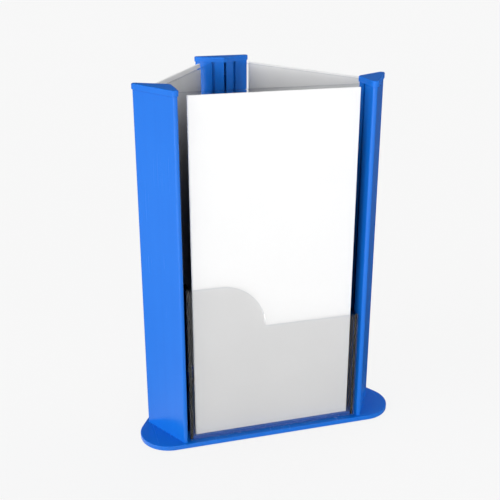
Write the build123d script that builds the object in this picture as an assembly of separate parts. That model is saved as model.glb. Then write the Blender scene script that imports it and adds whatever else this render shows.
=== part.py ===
from build123d import *
import math
import os

# Three-sided countertop brochure rack. Three extruded posts stand on a base plate with rounded
# corners. A clear back panel is slotted between each two posts, and a clear glued pocket on each
# panel holds one folded leaflet. Millimetres, +Z up. The origin is on the rack's upright axis, at
# the underside of the anti-slip mat. The front side faces -Y; the other two sides are the front
# side turned by a third of a turn each way.

# Leaflet, long format
leaflet_width = 100.0
leaflet_height = 210.0
leaflet_ply = 0.3
leaflet_ply_gap = 0.15
leaflet_front_y = -49.2
leaflet_flap_setback = 1.5

# Anti-slip mat and base plate
mat_thickness = 1.0
mat_inset = 3.5
base_thickness = 3.0
base_side_distance = 55.6
base_corner_radius = 18.9
base_top_round = 0.5
base_bottom_round = 0.3

# Posts: a flat wedge in plan, its outer face square to the post's own radius
post_length = 212.6
post_face_distance = 77.1
post_half_width = 18.05
post_inner_angle = 30.0
post_nose_radius = 1.5
post_apex_distance = 64.9
post_apex_radius = 0.5
post_seam_width = 1.5
post_wall = 1.6
post_cavity_half_width = 3.9
post_cavity_apex_half_width = 1.3
post_cavity_shoulder = 2.0

# Post caps
cap_thickness = 3.2
cap_overhang = 0.6
cap_edge_round = 0.7
cap_plug_length = 9.0
cap_plug_clearance = 0.15

# Countersunk screws, up through the base plate into the posts
screw_distance = 74.0
screw_offset = 10.6
screw_shank_radius = 1.3
screw_head_radius = 2.7
screw_head_height = 1.6
screw_length = 15.0
screw_tip_length = 2.0
screw_hole_clearance = 0.1
screw_recess_width = 0.7
screw_recess_span = 3.0
screw_recess_depth = 1.1

# Clear back panels, with their side edges in the posts' slots
panel_thickness = 2.0
panel_middle_y = -40.7
panel_width = 113.4
panel_height = 212.5
panel_bevel = 0.2
slot_clearance = 0.05
slot_end_gap = 0.1
slot_length = 4.2

# Clear pockets: a face, two sides and a floor, glued to each other and to the back panel
pocket_thickness = 2.0
pocket_half_width = 54.0
pocket_front_y = -53.0
pocket_lift = 0.05
pocket_tab_top = 104.25
pocket_low_top = 76.15
pocket_tab_end_x = -33.4
pocket_curve_radius = 27.0
pocket_bevel = 0.25

# Heights and places that follow from the sizes above
base_bottom = mat_thickness
base_top = base_bottom + base_thickness
post_top = base_top + post_length
panel_front_y = panel_middle_y - panel_thickness / 2
pocket_back_of_face_y = pocket_front_y + pocket_thickness
pocket_bottom = base_top + pocket_lift
pocket_floor_top = pocket_bottom + pocket_thickness

# Turn of each side about the upright axis, and the direction of each post from it
sides = {"front": 0, "right": 120, "left": -120}
posts = {"right": -30, "back": 90, "left": 210}


def block(low, high):
    """A box between two opposite corners."""
    size = [b - a for a, b in zip(low, high)]
    middle = [(a + b) / 2 for a, b in zip(low, high)]
    return Pos(*middle) * Box(*size)


def bevelled(solid, size):
    """The solid with all of its edges bevelled, as on polished sheet."""
    return chamfer(solid.edges(), size)


def base_outline(inset):
    """A triangle with rounded corners, one under each post."""
    triangle = RegularPolygon(radius=2 * (base_side_distance - inset), side_count=3, rotation=90)
    return fillet(triangle.vertices(), base_corner_radius - inset)


def base_mat():
    return extrude(base_outline(mat_inset), mat_thickness)


def screw_spots():
    """Where the base screws stand, two under each post."""
    for angle in posts.values():
        for offset in (-screw_offset, screw_offset):
            yield Rot(0, 0, angle) * Pos(screw_distance, offset, base_bottom)


def base_plate():
    plate = Pos(0, 0, base_bottom) * extrude(base_outline(0), base_thickness)
    plate = fillet(plate.faces().sort_by(Axis.Z)[-1].edges(), base_top_round)
    plate = fillet(plate.faces().sort_by(Axis.Z)[0].edges(), base_bottom_round)
    hole_radius = screw_shank_radius + screw_hole_clearance
    hole = extrude(Circle(hole_radius), base_thickness)
    sink = Pos(0, 0, screw_head_height / 2) * Cone(
        screw_head_radius + screw_hole_clearance, hole_radius, screw_head_height
    )
    for spot in screw_spots():
        plate -= spot * (hole + sink)
    return plate


def base_screw():
    """One screw, head down, from the underside of its head."""
    head = Pos(0, 0, screw_head_height / 2) * Cone(
        screw_head_radius, screw_shank_radius, screw_head_height
    )
    shank = extrude(Circle(screw_shank_radius), screw_length - screw_tip_length)
    tip = Pos(0, 0, screw_length - screw_tip_length / 2) * Cone(
        screw_shank_radius, screw_shank_radius / 4, screw_tip_length
    )
    arm = Rectangle(screw_recess_span, screw_recess_width)
    recess = extrude(arm + Rot(0, 0, 90) * arm, screw_recess_depth)
    return head + shank + tip - recess


def base_screws():
    return Compound(children=[spot * base_screw() for spot in screw_spots()])


def post_outline():
    """The wedge, for a post in the +X direction: outer face at high X, inner edge towards the axis."""
    slope = math.tan(math.radians(post_inner_angle))
    nose_reach = post_nose_radius / math.tan(math.radians(post_inner_angle / 2))
    corner_y = post_half_width - post_nose_radius + nose_reach
    sharp_apex_x = post_face_distance - corner_y * slope
    apex_y = (post_apex_distance - sharp_apex_x) / slope
    wedge = make_face(
        Polyline(
            (post_face_distance, -corner_y),
            (post_face_distance, corner_y),
            (post_apex_distance, apex_y),
            (post_apex_distance, -apex_y),
            close=True,
        )
    )
    wedge = fillet(wedge.vertices().sort_by(Axis.X)[-2:], post_nose_radius)
    return fillet(wedge.vertices().sort_by(Axis.X)[:2], post_apex_radius)


def post_cavity():
    """The hollow down the middle of a post, between its two panel slots."""
    half = post_cavity_half_width
    apex_half = post_cavity_apex_half_width
    outer_x = post_face_distance - post_wall
    apex_x = post_apex_distance + post_wall
    shoulder_x = apex_x + post_cavity_shoulder
    return make_face(
        Polyline(
            (outer_x, -half),
            (outer_x, half),
            (shoulder_x, half),
            (apex_x, apex_half),
            (apex_x, -apex_half),
            (shoulder_x, -half),
            close=True,
        )
    )


def panel_slot():
    """The slot on one flank of a post that takes a panel's side edge, open past the flank."""
    width = panel_thickness + 2 * slot_clearance
    middle = slot_length / 2 - panel_width / 2 - slot_end_gap
    return Rot(0, 0, 60) * Pos(-panel_middle_y, middle) * Rectangle(width, slot_length)


def post(angle):
    """An extrusion with a hollow, a seam along its inner edge, two panel slots and two screw ports."""
    seam = Pos(post_apex_distance, 0) * Rectangle(3 * post_wall, post_seam_width)
    outline = post_outline() - post_cavity() - seam
    outline -= panel_slot()
    outline -= mirror(panel_slot(), about=Plane.XZ)
    port = Circle(screw_shank_radius + screw_hole_clearance)
    for side in (-1, 1):
        outline -= Pos(screw_distance, side * screw_offset) * port
    return Rot(0, 0, angle) * Pos(0, 0, base_top) * extrude(outline, post_length)


def cap_plug():
    """The plug's outline: two tabs in the wide part of a post's hollow, one on each side of the seam."""
    high_x = post_face_distance - post_wall - cap_plug_clearance
    low_x = post_apex_distance + post_wall + post_cavity_shoulder + cap_plug_clearance
    width = post_cavity_half_width - cap_plug_clearance - post_seam_width / 2
    middle = (post_seam_width + width) / 2
    tab = Rectangle(high_x - low_x, width)
    return Pos((low_x + high_x) / 2, middle) * tab + Pos((low_x + high_x) / 2, -middle) * tab


def cap(angle):
    """A flat cap with a plug for the post's hollow and a peg for each screw port."""
    lid = extrude(offset(post_outline(), cap_overhang), cap_thickness)
    lid = fillet(lid.faces().sort_by(Axis.Z)[-1].edges(), cap_edge_round)
    plug = extrude(cap_plug(), -cap_plug_length)
    body = lid + plug
    for side in (-1, 1):
        peg = Circle(screw_shank_radius + screw_hole_clearance - cap_plug_clearance)
        body += Pos(screw_distance, side * screw_offset) * extrude(peg, -cap_plug_length)
    return Rot(0, 0, angle) * Pos(0, 0, post_top) * body


def back_panel():
    half = panel_width / 2
    low = (-half, panel_front_y, base_top)
    high = (half, panel_front_y + panel_thickness, base_top + panel_height)
    return bevelled(block(low, high), panel_bevel)


def pocket_face():
    """The pocket's front, with a high tab at its left that curves down to a low edge."""
    half = pocket_half_width
    curve_end_x = pocket_tab_end_x + pocket_curve_radius
    curve_end_z = pocket_tab_top - pocket_curve_radius
    outline = Polyline(
        (pocket_tab_end_x, pocket_tab_top),
        (-half, pocket_tab_top),
        (-half, pocket_bottom),
        (half, pocket_bottom),
        (half, pocket_low_top),
        (curve_end_x, pocket_low_top),
        (curve_end_x, curve_end_z),
    )
    curve = RadiusArc(
        (curve_end_x, curve_end_z), (pocket_tab_end_x, pocket_tab_top), -pocket_curve_radius
    )
    face = make_face(Plane.XZ * (outline + curve))
    plate = extrude(face, pocket_thickness, dir=(0, 1, 0))
    return bevelled(Pos(0, pocket_front_y, 0) * plate, pocket_bevel)


def pocket_sides():
    """The two side strips: the left one as high as the tab, the right one as the low edge."""
    inner = pocket_half_width - pocket_thickness
    front_y = pocket_back_of_face_y
    left = block(
        (-pocket_half_width, front_y, pocket_bottom), (-inner, panel_front_y, pocket_tab_top)
    )
    right = block(
        (inner, front_y, pocket_bottom), (pocket_half_width, panel_front_y, pocket_low_top)
    )
    return Compound(children=[left, right])


def pocket_floor():
    inner = pocket_half_width - pocket_thickness
    low = (-inner, pocket_back_of_face_y, pocket_bottom)
    return block(low, (inner, panel_front_y, pocket_floor_top))


def leaflet():
    """A sheet folded twice into three plies, with its folds at the two long edges."""
    pitch = leaflet_ply + leaflet_ply_gap
    outer = pitch / 2 + leaflet_ply / 2
    reach = leaflet_width / 2 - outer
    middle_y = leaflet_front_y + leaflet_ply / 2 + pitch
    ply = Pos(0, middle_y) * Rectangle(2 * reach, leaflet_ply)
    back_ply = Rectangle(2 * reach - leaflet_flap_setback, leaflet_ply)
    ring = Circle(outer) - Circle(outer - leaflet_ply)
    right_fold = ring & Pos(outer / 2, 0) * Rectangle(outer, 2 * outer)
    left_fold = ring & Pos(-outer / 2, 0) * Rectangle(outer, 2 * outer)
    sheet = ply + Pos(0, -pitch) * ply
    sheet += Pos(-leaflet_flap_setback / 2, middle_y + pitch) * back_ply
    sheet += Pos(reach, middle_y - pitch / 2) * right_fold
    sheet += Pos(-reach, middle_y + pitch / 2) * left_fold
    return Pos(0, 0, pocket_floor_top) * extrude(sheet, leaflet_height)


def build():
    nodes = {
        "base_mat": base_mat(),
        "base_plate": base_plate(),
        "base_screws": base_screws(),
    }
    for name, angle in posts.items():
        nodes["post_" + name] = post(angle)
        nodes["post_cap_" + name] = cap(angle)
    side_parts = {
        "back_panel": back_panel(),
        "pocket_face": pocket_face(),
        "pocket_sides": pocket_sides(),
        "pocket_floor": pocket_floor(),
        "leaflet": leaflet(),
    }
    for name, turn in sides.items():
        for part_name, solid in side_parts.items():
            nodes[part_name + "_" + name] = Rot(0, 0, turn) * solid
    return nodes


os.makedirs("parts", exist_ok=True)
for node, shape in build().items():
    export_step(shape, "parts/" + node + ".step")
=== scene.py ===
"""The looks of a three-sided brochure rack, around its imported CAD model.

Metres, in the model's own frame: +Z up, the front side faces -Y, and the origin is under the
rack's upright axis, on the surface that it stands on.
"""

import math

import bpy
from mathutils import Euler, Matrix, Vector

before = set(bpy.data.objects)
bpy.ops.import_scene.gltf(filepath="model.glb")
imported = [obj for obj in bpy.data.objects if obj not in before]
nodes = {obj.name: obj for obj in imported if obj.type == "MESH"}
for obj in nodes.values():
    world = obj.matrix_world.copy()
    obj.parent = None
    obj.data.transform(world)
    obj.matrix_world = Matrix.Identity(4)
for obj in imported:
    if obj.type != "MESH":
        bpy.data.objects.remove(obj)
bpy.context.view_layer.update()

# Camera
LENS_MM = 59.28
SENSOR_MM = 36.0
CAMERA_AZIMUTH = -15.89
CAMERA_ELEVATION = 20.60
CAMERA_DISTANCE = 0.5311
CAMERA_TARGET = Vector((-0.00169, -0.00215, 0.10638))

# Studio floor: its width, the share of it that is plain matt paper, and how that share is lit
FLOOR_SIZE = 60.0
FLOOR_MATT = 0.08
FLOOR_LIT = 0.62

# Radiance of the floor and the sky, where 1 is a white surface that is fully lit: as they show,
# and as the floor lights the object from the rack's foot and from further away
SEEN_RADIANCE = 0.924
FLOOR_NEAR = 0.40
FLOOR_FAR = 0.70
FOOT_DISTANCE = 0.09
FLOOR_FAR_DISTANCE = 0.25
SECOND_BOUNCE = 0.60

# The sky's light: below, between and above two soft borders in height, with lobes in the first two
SKY_LOW = (1.95, 3.2, 2.05)
SKY_MIDDLE = (0.5, 0.1, 1.5)
SKY_HIGH = 0.47
SKY_AZIMUTHS = (180.0, 270.0, 45.0)
SKY_LOBE_SHARPNESS = 2.0
SKY_LOW_BORDER = (0.25, 0.50)
SKY_HIGH_BORDER = (0.60, 0.85)

# What the object mirrors: a dim surround, and bright areas with their azimuth in degrees,
# sharpness and radiance. Both are weaker on the floor by the rack and high in the sky.
MIRRORED_BEHIND = 0.04
MIRRORED_LOBES = {
    "softbox": (208.0, 1.5, 0.85),
    "strip_lamp": (212.0, 10.0, 2.0),
    "front_wall": (285.0, 3.0, 1.2),
    "side_wall": (38.0, 6.0, 0.03),
}
MIRRORED_NEAR = 0.38
MIRRORED_FAR_DISTANCE = 0.45
MIRRORED_ABOVE = 0.1
MIRRORED_SKY_BORDER = (0.25, 0.70)

# Soft lamps: azimuth and elevation in degrees, strength, and angular size in degrees
LAMPS = {
    "key_light": (188.0, 20.0, 0.275, 50.0),
    "fill_light": (320.0, 20.0, 0.02, 60.0),
}

# Directions that the three sides face, in degrees about the upright axis from +X
SIDE_FACING = {"front": -90.0, "right": 30.0, "left": 150.0}


# ---------------------------------------------------------------- node helpers

# Where most values of a noise lie, and of two noises added
NOISE_RANGE = (0.3, 0.7)
TWO_NOISES_RANGE = (0.6, 1.4)


class Tree:
    """Adds and joins the nodes of one material or world."""

    def __init__(self, owner):
        owner.use_nodes = True
        self.tree = owner.node_tree
        self.tree.nodes.clear()

    def add(self, kind, inputs=None, **settings):
        """A node of that kind. A value in inputs is a number, or a socket to link."""
        node = self.tree.nodes.new(kind)
        for key, value in settings.items():
            setattr(node, key, value)
        for key, value in (inputs or {}).items():
            if isinstance(value, bpy.types.NodeSocket):
                self.tree.links.new(value, node.inputs[key])
            else:
                node.inputs[key].default_value = value
        return node

    def math(self, operation, a, b=0.0):
        return self.add("ShaderNodeMath", {0: a, 1: b}, operation=operation).outputs[0]

    def ramp(self, value, low, high, to_low, to_high):
        """value's range from low to high, carried over to another range."""
        inputs = {"Value": value, 1: low, 2: high, 3: to_low, 4: to_high}
        return self.add("ShaderNodeMapRange", inputs).outputs[0]

    def spread(self, noise, to_low=0, to_high=1):
        """A noise's usual values, carried over to another range."""
        return self.ramp(noise, *NOISE_RANGE, to_low, to_high)

    def place(self, scale=(1, 1, 1), turn=(0, 0, 0)):
        """The point's place on the object, in metres, scaled and turned."""
        at = self.add("ShaderNodeTexCoord").outputs["Object"]
        angles = [math.radians(a) for a in turn]
        inputs = {"Vector": at, "Rotation": angles, "Scale": scale}
        return self.add("ShaderNodeMapping", inputs).outputs[0]

    def noise(self, vector, scale, detail=2.0, rough=0.5, distortion=0.0):
        inputs = {
            "Vector": vector,
            "Scale": scale,
            "Detail": detail,
            "Roughness": rough,
            "Distortion": distortion,
        }
        return self.add("ShaderNodeTexNoise", inputs).outputs["Fac"]

    def colour_between(self, factor, a, b):
        node = self.add("ShaderNodeMix", data_type="RGBA")
        self.tree.links.new(factor, node.inputs["Factor"])
        node.inputs[6].default_value = (*a, 1)
        node.inputs[7].default_value = (*b, 1)
        return node.outputs[2]

    def bump(self, height, strength, depth, normal=None):
        inputs = {"Height": height, "Strength": strength, "Distance": depth}
        if normal is not None:
            inputs["Normal"] = normal
        return self.add("ShaderNodeBump", inputs).outputs[0]

    def surface(self, shader):
        self.add("ShaderNodeOutputMaterial", {"Surface": shader})

    def principled(self, inputs):
        """Ends the material in a Principled surface."""
        self.surface(self.add("ShaderNodeBsdfPrincipled", inputs).outputs[0])


def new_material(name):
    material = bpy.data.materials.new(name)
    return material, Tree(material)


def dress(names, material):
    """Gives CAD nodes their finished material."""
    for name in names:
        data = nodes[name]
        data.material_slots[0].link = "OBJECT"
        data.material_slots[0].material = material


# ---------------------------------------------------------------- materials

# Tints come in pairs, deeper and lighter, which a noise mixes
BLUES = (0.0052, 0.166, 0.735), (0.0075, 0.182, 0.775)
BLUE_IOR = 1.46
SATIN_SPECULAR = 0.42
GRAINED_SPECULAR = 0.32
PAPER_WHITES = (0.955,) * 3, (0.985,) * 3
PAPER_IOR = 1.45
FOAM_GREYS = (0.012, 0.012, 0.013), (0.035, 0.035, 0.037)
ZINC_GREYS = (0.50, 0.51, 0.53), (0.66, 0.67, 0.68)
PANEL_TINTS = (0.90, 0.902, 0.905), (0.915, 0.917, 0.92)
POCKET_TINTS = (0.88, 0.88, 0.88), (0.897, 0.897, 0.897)
# The pocket floor's blue, on its body and on its edges, is a painted reflection: it stands in for
# the blue base plate seen through and mirrored in the clear floor sheet
POCKET_FLOOR_PAINTED_REFLECTION = (0.07, 0.24, 0.80), (0.08, 0.26, 0.84)
POCKET_FLOOR_EDGE_PAINTED_REFLECTION = (0.05, 0.16, 0.56)
SHEET_EDGE_TINT = (0.84, 0.86, 0.89)
SHEET_IOR = 1.02
SHEET_COAT_IOR = 1.49
SHEET_COAT_ROUGHNESS = 0.02
BROAD_SIDE_COSINE = 0.95

# How much of the lamps' light each surface of a sheet lets through, below and above two heights
PANEL_LIGHT = (0.20, 0.88)
POCKET_LIGHT = (0.90, 0.90)
POCKET_FLOOR_LIGHT = (1.0, 1.0)
DIMMING_HEIGHTS = (0.142, 0.205)


def blue_surface(t, shade, rough, normal, specular):
    """The rack's blue, which varies a little with shade."""
    inputs = {
        "Base Color": t.colour_between(t.spread(shade), *BLUES),
        "Roughness": rough,
        "Normal": normal,
        "IOR": BLUE_IOR,
        "Specular IOR Level": specular,
    }
    t.principled(inputs)


def blue_extrusion():
    """Satin extruded plastic, with faint die lines along its length."""
    material, t = new_material("blue_extruded_plastic")
    cloud = t.noise(t.place(), 22.0, 3.0)
    lines = t.noise(t.place(scale=(1, 1, 0.004)), 1500.0, 2.0)
    broad = t.noise(t.place(scale=(1, 1, 0.01)), 240.0, 2.0)
    grain = t.noise(t.place(), 2600.0, 1.0)
    shade = t.math("ADD", t.math("MULTIPLY", cloud, 0.6), t.math("MULTIPLY", broad, 0.4))
    rough = t.ramp(t.math("ADD", cloud, lines), *TWO_NOISES_RANGE, 0.20, 0.28)
    normal = t.bump(lines, 0.14, 0.00003)
    normal = t.bump(broad, 0.12, 0.00008, normal)
    normal = t.bump(grain, 0.10, 0.00002, normal)
    blue_surface(t, shade, rough, normal, SATIN_SPECULAR)
    return material


def blue_moulding():
    """Moulded plastic with a fine spark-eroded grain."""
    material, t = new_material("blue_moulded_plastic")
    cloud = t.noise(t.place(), 60.0, 3.0)
    grain = t.noise(t.place(), 1700.0, 3.0, 0.6)
    rough = t.ramp(t.math("ADD", cloud, grain), *TWO_NOISES_RANGE, 0.30, 0.42)
    normal = t.bump(grain, 0.35, 0.00004)
    blue_surface(t, cloud, rough, normal, GRAINED_SPECULAR)
    return material


def blue_sheet():
    """The base plate's sheet plastic: smooth, with a little ripple and hairline scuffs."""
    material, t = new_material("blue_sheet_plastic")
    cloud = t.noise(t.place(), 30.0, 3.0)
    ripple = t.noise(t.place(), 160.0, 1.0)
    hair = t.noise(t.place(scale=(1, 0.02, 1), turn=(0, 0, 24)), 900.0, 2.0)
    scuff = t.ramp(hair, 0.62, 0.72, 0, 1)
    rough = t.spread(cloud, 0.20, 0.28)
    rough = t.math("ADD", rough, t.math("MULTIPLY", scuff, 0.05))
    normal = t.bump(ripple, 0.12, 0.0002)
    blue_surface(t, cloud, rough, normal, SATIN_SPECULAR)
    return material


def level_directions(turn):
    """The level directions at that angle, in degrees, from the way each of the three sides faces."""
    angles = [math.radians(degrees + turn) for degrees in SIDE_FACING.values()]
    return [(math.cos(angle), math.sin(angle), 0) for angle in angles]


def sheet_edge(t, facings):
    """1 on a sheet's narrow edges and bevels, 0 on its two broad sides, which have those facings."""
    normal = t.add("ShaderNodeTexCoord").outputs["Normal"]
    broad = 0.0
    for facing in facings:
        dot = t.add("ShaderNodeVectorMath", {0: normal, 1: facing}, operation="DOT_PRODUCT")
        broad = t.math("MAXIMUM", t.math("ABSOLUTE", dot.outputs["Value"]), broad)
    return t.math("LESS_THAN", broad, BROAD_SIDE_COSINE)


def clear_sheet(name, facings, tints, edge_tint, clarity, coat, light):
    """Thin clear sheet: it mirrors a little and its edges are smoky. On the pocket floor its tints
    and edge tint are instead a painted reflection, blue for the base plate under it. light is how
    much of the lamps' light each surface lets through, low on the rack and high on it: the back
    panels pass less at their feet, so that it gets dark deep inside the rack."""
    material, t = new_material(name)
    smudge = t.noise(t.place(), 35.0, 4.0, 0.6)
    fine = t.noise(t.place(), 900.0, 2.0)
    dull = t.math("ADD", smudge, t.math("MULTIPLY", fine, 0.3))
    rough = t.ramp(dull, 0.5, 0.9, 0.0, 0.02)
    clean = t.colour_between(t.spread(smudge), *tints)
    tint = t.add("ShaderNodeMix", {"Factor": sheet_edge(t, facings), 6: clean}, data_type="RGBA")
    tint.inputs[7].default_value = (*edge_tint, 1)
    inputs = {
        "Base Color": tint.outputs[2],
        "Roughness": rough,
        "IOR": SHEET_IOR,
        "Transmission Weight": clarity,
        "Coat Weight": coat,
        "Coat IOR": SHEET_COAT_IOR,
        "Coat Roughness": SHEET_COAT_ROUGHNESS,
    }
    glass = t.add("ShaderNodeBsdfPrincipled", inputs)
    light_low, light_high = light
    clear = t.add("ShaderNodeBsdfTransparent", {"Color": (light_high,) * 3 + (1,)})
    if light_low < light_high:
        height = t.add("ShaderNodeSeparateXYZ", {0: t.place()}).outputs[2]
        share = t.ramp(height, *DIMMING_HEIGHTS, 0, 1)
        dimmed = t.colour_between(share, (light_low,) * 3, (light_high,) * 3)
        t.tree.links.new(dimmed, clear.inputs["Color"])
    path = t.add("ShaderNodeLightPath")
    is_light = t.math("MAXIMUM", path.outputs["Is Shadow Ray"], path.outputs["Is Diffuse Ray"])
    inputs = {0: is_light, 1: glass.outputs[0], 2: clear.outputs[0]}
    t.surface(t.add("ShaderNodeMixShader", inputs).outputs[0])
    return material


def leaflet_paper():
    """Coated white paper: a faint fibre texture and a soft sheen."""
    material, t = new_material("leaflet_coated_paper")
    fibre = t.noise(t.place(scale=(1, 1, 0.45)), 1500.0, 4.0, 0.65, 0.4)
    cloud = t.noise(t.place(), 45.0, 2.0)
    mixed = t.math("ADD", t.math("MULTIPLY", fibre, 0.5), t.math("MULTIPLY", cloud, 0.5))
    colour = t.colour_between(t.spread(mixed), *PAPER_WHITES)
    rough = t.spread(fibre, 0.48, 0.60)
    normal = t.bump(fibre, 0.15, 0.00003)
    normal = t.bump(cloud, 0.10, 0.0002, normal)
    t.principled({"Base Color": colour, "Roughness": rough, "Normal": normal, "IOR": PAPER_IOR})
    return material


def foam_mat():
    """Closed-cell foam, dark grey, with its cells showing."""
    material, t = new_material("foam_mat_cells")
    inputs = {"Vector": t.place(), "Scale": 1800.0}
    cells = t.add("ShaderNodeTexVoronoi", inputs, feature="F1").outputs["Distance"]
    cloud = t.noise(t.place(), 80.0, 3.0)
    colour = t.colour_between(t.ramp(cells, 0.1, 0.7, 0, 1), *FOAM_GREYS)
    rough = t.spread(cloud, 0.82, 0.95)
    normal = t.bump(cells, 0.6, 0.0002)
    t.principled({"Base Color": colour, "Roughness": rough, "Normal": normal})
    return material


def zinc_steel():
    """Zinc-plated steel, with fine turning marks and a dull mottle."""
    material, t = new_material("zinc_plated_steel")
    mottle = t.noise(t.place(), 700.0, 3.0, 0.6)
    turned = t.noise(t.place(scale=(1, 1, 12)), 800.0, 1.0)
    colour = t.colour_between(t.spread(mottle), *ZINC_GREYS)
    rough = t.spread(mottle, 0.26, 0.42)
    normal = t.bump(turned, 0.3, 0.00003)
    t.principled({"Base Color": colour, "Roughness": rough, "Normal": normal, "Metallic": 1.0})
    return material


def starting_with(*starts):
    return [name for name in sorted(nodes) if name.startswith(starts)]


dress(["post_right", "post_back", "post_left"], blue_extrusion())
dress(starting_with("post_cap_"), blue_moulding())
dress(["base_plate"], blue_sheet())
faces, sides, floors = level_directions(0), level_directions(90), [(0, 0, 1)]
panel_look = {"tints": PANEL_TINTS, "edge_tint": SHEET_EDGE_TINT, "light": PANEL_LIGHT}
pocket_look = {"tints": POCKET_TINTS, "edge_tint": SHEET_EDGE_TINT, "light": POCKET_LIGHT}
pocket_floor_look = {
    "tints": POCKET_FLOOR_PAINTED_REFLECTION,
    "edge_tint": POCKET_FLOOR_EDGE_PAINTED_REFLECTION,
    "light": POCKET_FLOOR_LIGHT,
}
dress(
    starting_with("back_panel_"),
    clear_sheet("clear_panel_sheet", faces, clarity=1.0, coat=0.06, **panel_look),
)
dress(
    starting_with("pocket_face_"),
    clear_sheet("clear_pocket_sheet", faces, clarity=0.988, coat=0.35, **pocket_look),
)
dress(
    starting_with("pocket_sides_"),
    clear_sheet("clear_pocket_side_sheet", sides, clarity=1.0, coat=0.35, **pocket_look),
)
# The clear pocket floor is painted blue, a painted reflection of the base plate below it; its low
# clarity lets the painted blue show
dress(
    starting_with("pocket_floor_"),
    clear_sheet("pocket_floor_sheet_painted_blue_reflection", floors, clarity=0.35, coat=0.5, **pocket_floor_look),
)
dress(starting_with("leaflet_"), leaflet_paper())
dress(["base_mat"], foam_mat())
dress(["base_screws"], zinc_steel())


# ---------------------------------------------------------------- stage


def toward(t, away, azimuth, sharpness):
    """1 in a level direction, falling off around it."""
    angle = math.radians(azimuth)
    level = t.add("ShaderNodeVectorMath", {0: away, 1: (1, 1, 0)}, operation="MULTIPLY").outputs[0]
    level = t.add("ShaderNodeVectorMath", {0: level}, operation="NORMALIZE").outputs[0]
    inputs = {0: level, 1: (math.cos(angle), math.sin(angle), 0)}
    facing = t.add("ShaderNodeVectorMath", inputs, operation="DOT_PRODUCT").outputs["Value"]
    return t.math("POWER", t.math("MAXIMUM", facing, 0.0), sharpness)


def sky_light(t, away):
    """How brightly the sky lights the object: by height, and by direction below the zenith."""
    z = t.add("ShaderNodeSeparateXYZ", {0: away}).outputs[2]
    low = t.ramp(z, *SKY_LOW_BORDER, 1, 0)
    high = t.ramp(z, *SKY_HIGH_BORDER, 0, 1)
    middle = t.math("SUBTRACT", t.math("SUBTRACT", 1.0, low), high)
    total = t.math("MULTIPLY", high, SKY_HIGH)
    for azimuth, of_low, of_middle in zip(SKY_AZIMUTHS, SKY_LOW, SKY_MIDDLE):
        band = t.math("ADD", t.math("MULTIPLY", low, of_low), t.math("MULTIPLY", middle, of_middle))
        lobe = toward(t, away, azimuth, SKY_LOBE_SHARPNESS)
        total = t.math("ADD", total, t.math("MULTIPLY", lobe, band))
    return total


def by_distance(t, place, far, at_foot, at_far):
    """From one value at the rack's foot to another at a distance: the rack shades the floor."""
    distance = t.add("ShaderNodeVectorMath", {0: place}, operation="LENGTH").outputs["Value"]
    return t.ramp(distance, FOOT_DISTANCE, far, at_foot, at_far)


def by_path(t, away, lit_by, mirror_share):
    """A studio surface's radiance: as seen directly or through clear sheet, as mirrored in the
    object, and as it lights the object. Also says which rays light and which are mirrored."""
    path = t.add("ShaderNodeLightPath")
    bounces = path.outputs["Diffuse Depth"]
    is_mirrored = t.math("GREATER_THAN", path.outputs["Glossy Depth"], 0.5)
    is_light = t.math("GREATER_THAN", bounces, 0.5)
    mirrored = MIRRORED_BEHIND
    for azimuth, sharpness, radiance in MIRRORED_LOBES.values():
        lobe = t.math("MULTIPLY", toward(t, away, azimuth, sharpness), radiance)
        mirrored = t.math("ADD", lobe, mirrored)
    mirrored = t.math("MULTIPLY", mirrored, mirror_share)
    seen = t.ramp(is_mirrored, 0, 1, SEEN_RADIANCE, mirrored)
    light = t.math("MULTIPLY", lit_by, t.ramp(bounces, 1, 2, 1, SECOND_BOUNCE))
    return t.ramp(is_light, 0, 1, seen, light), is_light, is_mirrored


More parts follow.
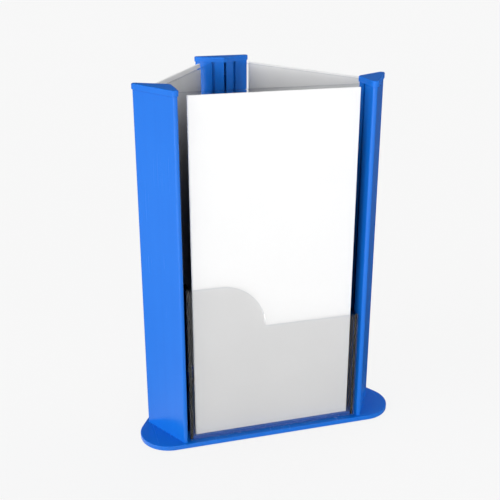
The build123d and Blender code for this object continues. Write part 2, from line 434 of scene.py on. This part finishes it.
def make_floor():
    """A large pale surface that mostly glows, so that it reads as an even studio sweep."""
    half = FLOOR_SIZE / 2
    corners = [(-half, -half, 0), (half, -half, 0), (half, half, 0), (-half, half, 0)]
    mesh = bpy.data.meshes.new("studio_floor")
    mesh.from_pydata(corners, [], [(0, 1, 2, 3)])
    floor = bpy.data.objects.new("studio_floor", mesh)
    bpy.context.scene.collection.objects.link(floor)
    material, t = new_material("studio_floor_paper")
    place = t.place()
    lit_by = by_distance(t, place, FLOOR_FAR_DISTANCE, FLOOR_NEAR, FLOOR_FAR)
    mirror_share = by_distance(t, place, MIRRORED_FAR_DISTANCE, MIRRORED_NEAR, 1.0)
    radiance, is_light, is_mirrored = by_path(t, place, lit_by, mirror_share)
    unlit = t.math("MAXIMUM", is_light, is_mirrored)
    cloud = t.noise(t.place(), 3.0, 2.0)
    white = t.colour_between(cloud, (0.995, 0.995, 0.995), (1, 1, 1))
    matt = t.add("ShaderNodeBsdfDiffuse", {"Color": (FLOOR_MATT, FLOOR_MATT, FLOOR_MATT, 1)})
    from_matt = t.ramp(unlit, 0, 1, FLOOR_MATT * FLOOR_LIT, 0)
    strength = t.math("SUBTRACT", radiance, from_matt)
    glow = t.add("ShaderNodeEmission", {"Color": white, "Strength": strength})
    seen = t.add("ShaderNodeAddShader", {0: matt.outputs[0], 1: glow.outputs[0]})
    inputs = {0: unlit, 1: seen.outputs[0], 2: glow.outputs[0]}
    t.surface(t.add("ShaderNodeMixShader", inputs).outputs[0])
    material.cycles.emission_sampling = "NONE"
    mesh.materials.append(material)


def make_world():
    """The sky. Past the floor's edge it looks as pale as the floor."""
    world = bpy.data.worlds.new("studio")
    bpy.context.scene.world = world
    t = Tree(world)
    away = t.add("ShaderNodeTexCoord").outputs["Generated"]
    z = t.add("ShaderNodeSeparateXYZ", {0: away}).outputs[2]
    mirror_share = t.ramp(z, *MIRRORED_SKY_BORDER, 1, MIRRORED_ABOVE)
    strength = by_path(t, away, sky_light(t, away), mirror_share)[0]
    background = t.add("ShaderNodeBackground", {"Color": (1, 1, 1, 1), "Strength": strength})
    t.add("ShaderNodeOutputWorld", {"Surface": background.outputs[0]})
    world.cycles.sampling_method = "NONE"


def soft_sun(name, azimuth, elevation, strength, size):
    """A distant soft lamp that lights a white surface facing it to strength."""
    lamp = bpy.data.lights.new(name, "SUN")
    lamp.energy = strength * math.pi
    lamp.angle = math.radians(size)
    sun = bpy.data.objects.new(name, lamp)
    turn = Euler((math.radians(90 - elevation), 0, math.radians(azimuth + 90)))
    sun.rotation_euler = turn
    sun.location = turn.to_matrix() @ Vector((0, 0, 1))
    bpy.context.scene.collection.objects.link(sun)


def make_camera():
    data = bpy.data.cameras.new("camera")
    data.lens = LENS_MM
    data.sensor_width = SENSOR_MM
    data.clip_start = 0.01
    data.clip_end = 200.0
    camera = bpy.data.objects.new("camera", data)
    turn = Euler((math.radians(90 - CAMERA_ELEVATION), 0, math.radians(CAMERA_AZIMUTH)))
    camera.rotation_euler = turn
    camera.location = CAMERA_TARGET + turn.to_matrix() @ Vector((0, 0, CAMERA_DISTANCE))
    bpy.context.scene.collection.objects.link(camera)
    bpy.context.scene.camera = camera


make_floor()
make_world()
for lamp_name, lamp_settings in LAMPS.items():
    soft_sun(lamp_name, *lamp_settings)
make_camera()

view = bpy.context.scene.view_settings
view.view_transform = "Standard"
view.look = "None"

bpy.context.view_layer.update()
